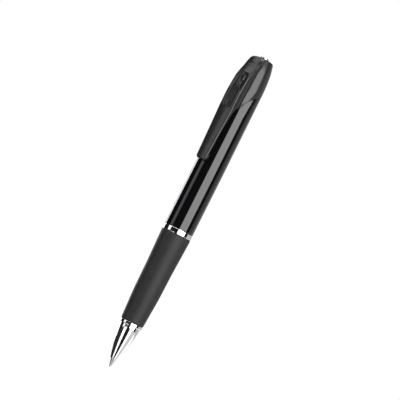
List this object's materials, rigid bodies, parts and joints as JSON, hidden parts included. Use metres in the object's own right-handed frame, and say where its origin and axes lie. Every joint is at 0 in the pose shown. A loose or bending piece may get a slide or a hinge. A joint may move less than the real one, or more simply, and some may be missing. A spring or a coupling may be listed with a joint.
{
  "type": "pen camera",
  "caption": "Ballpoint pen with a camera behind a sliding shutter at the top of its clip, a push button on its end, a rubber grip and an unscrewing front section",
  "frame": {"origin": "the writing point: the lowest point of the ball at the refill's tip", "axes": "+Z along the pen's axis from the tip to the push button; the clip and the lens face -Y"},
  "size_m": [0.0134, 0.0154, 0.1485],
  "materials": {
    "chrome": "polished chrome plate",
    "black_lacquer": "gloss black lacquer",
    "satin_black": "satin black coating",
    "grip_rubber": "matte rubber",
    "black_plastic": "moulded black plastic",
    "steel": "bright steel",
    "clear_tube": "translucent plastic tube",
    "ink": "wet ink",
    "lens_glass": "coated lens glass",
    "red_lens": "smoked red plastic",
    "circuit_board": "solder mask",
    "chip_black": "moulded chip",
    "led": "clear resin",
    "ribbon": "polyimide ribbon",
    "cell_foil": "foil pouch",
    "brass": "gold-plated can"
  },
  "bodies": {
    "pen_body": {"coupling": "steel", "rear_barrel": "black_lacquer", "cap_shell": "satin_black", "camera_housing": "satin_black", "shutter_detent": "steel", "lens_bezel": "black_plastic", "lens_window": "lens_glass", "lens_barrel": "black_plastic", "front_lens": "lens_glass", "rear_lens": "lens_glass", "lens_stop": "black_plastic", "sensor_holder": "black_plastic", "image_sensor": "chip_black", "sensor_board": "circuit_board", "light_pipe": "red_lens", "status_led": "led", "flex_cable": "ribbon", "main_board": "circuit_board", "processor": "chip_black", "memory_chip": "chip_black", "crystal": "steel", "usb_socket": "steel", "usb_tongue": "black_plastic", "battery": "cell_foil", "button_board": "circuit_board", "microphone": "brass", "tact_switch": "steel", "button_bezel": "black_plastic"},
    "refill": {"ball": "steel", "refill_tip": "steel", "refill_tube": "clear_tube", "ink": "ink", "refill_holder": "black_plastic"},
    "spring": {"refill_spring": "steel"},
    "front_section": {"nose_cone": "chrome", "nose_collar": "chrome", "front_core": "black_plastic", "rubber_grip": "grip_rubber", "mid_ring": "chrome"},
    "clip": {"clip_leaf": "satin_black"},
    "shutter": {"lens_shutter": "satin_black"},
    "button": {"top_button": "chrome", "switch_plunger": "black_plastic"}
  },
  "joints": [
    {"name": "section_pull", "type": "slide", "parent": "pen_body", "child": "refill", "axis": [0, 0, -1], "range_m": [0, 0.024]},
    {"name": "thread_advance", "type": "slide", "parent": "refill", "child": "spring", "axis": [0, 0, -1], "range_m": [0, 0.00225], "deforming": ["refill_spring"]},
    {"name": "thread_turn", "type": "hinge", "parent": "spring", "child": "front_section", "pos_m": [0, 0, 0], "axis": [0, 0, 1], "range_deg": [0, 1080]},
    {"name": "clip_flex", "type": "hinge", "parent": "pen_body", "child": "clip", "pos_m": [0, -0.00775, 0.119], "axis": [-1, 0, 0], "range_deg": [0, 6], "stiffness_Nm_per_rad": 0.3},
    {"name": "shutter_slide", "type": "slide", "parent": "pen_body", "child": "shutter", "axis": [0, 0.0576, 0.9983], "range_m": [0, 0.0059]},
    {"name": "button_press", "type": "slide", "parent": "pen_body", "child": "button", "axis": [0, 0, -1], "range_m": [0, 0.0005], "stiffness_N_per_m": 1500}
  ],
  "couplings": [
    {"joint": "thread_turn", "follows": "thread_advance", "rad_per_m": 8377.6}
  ]
}
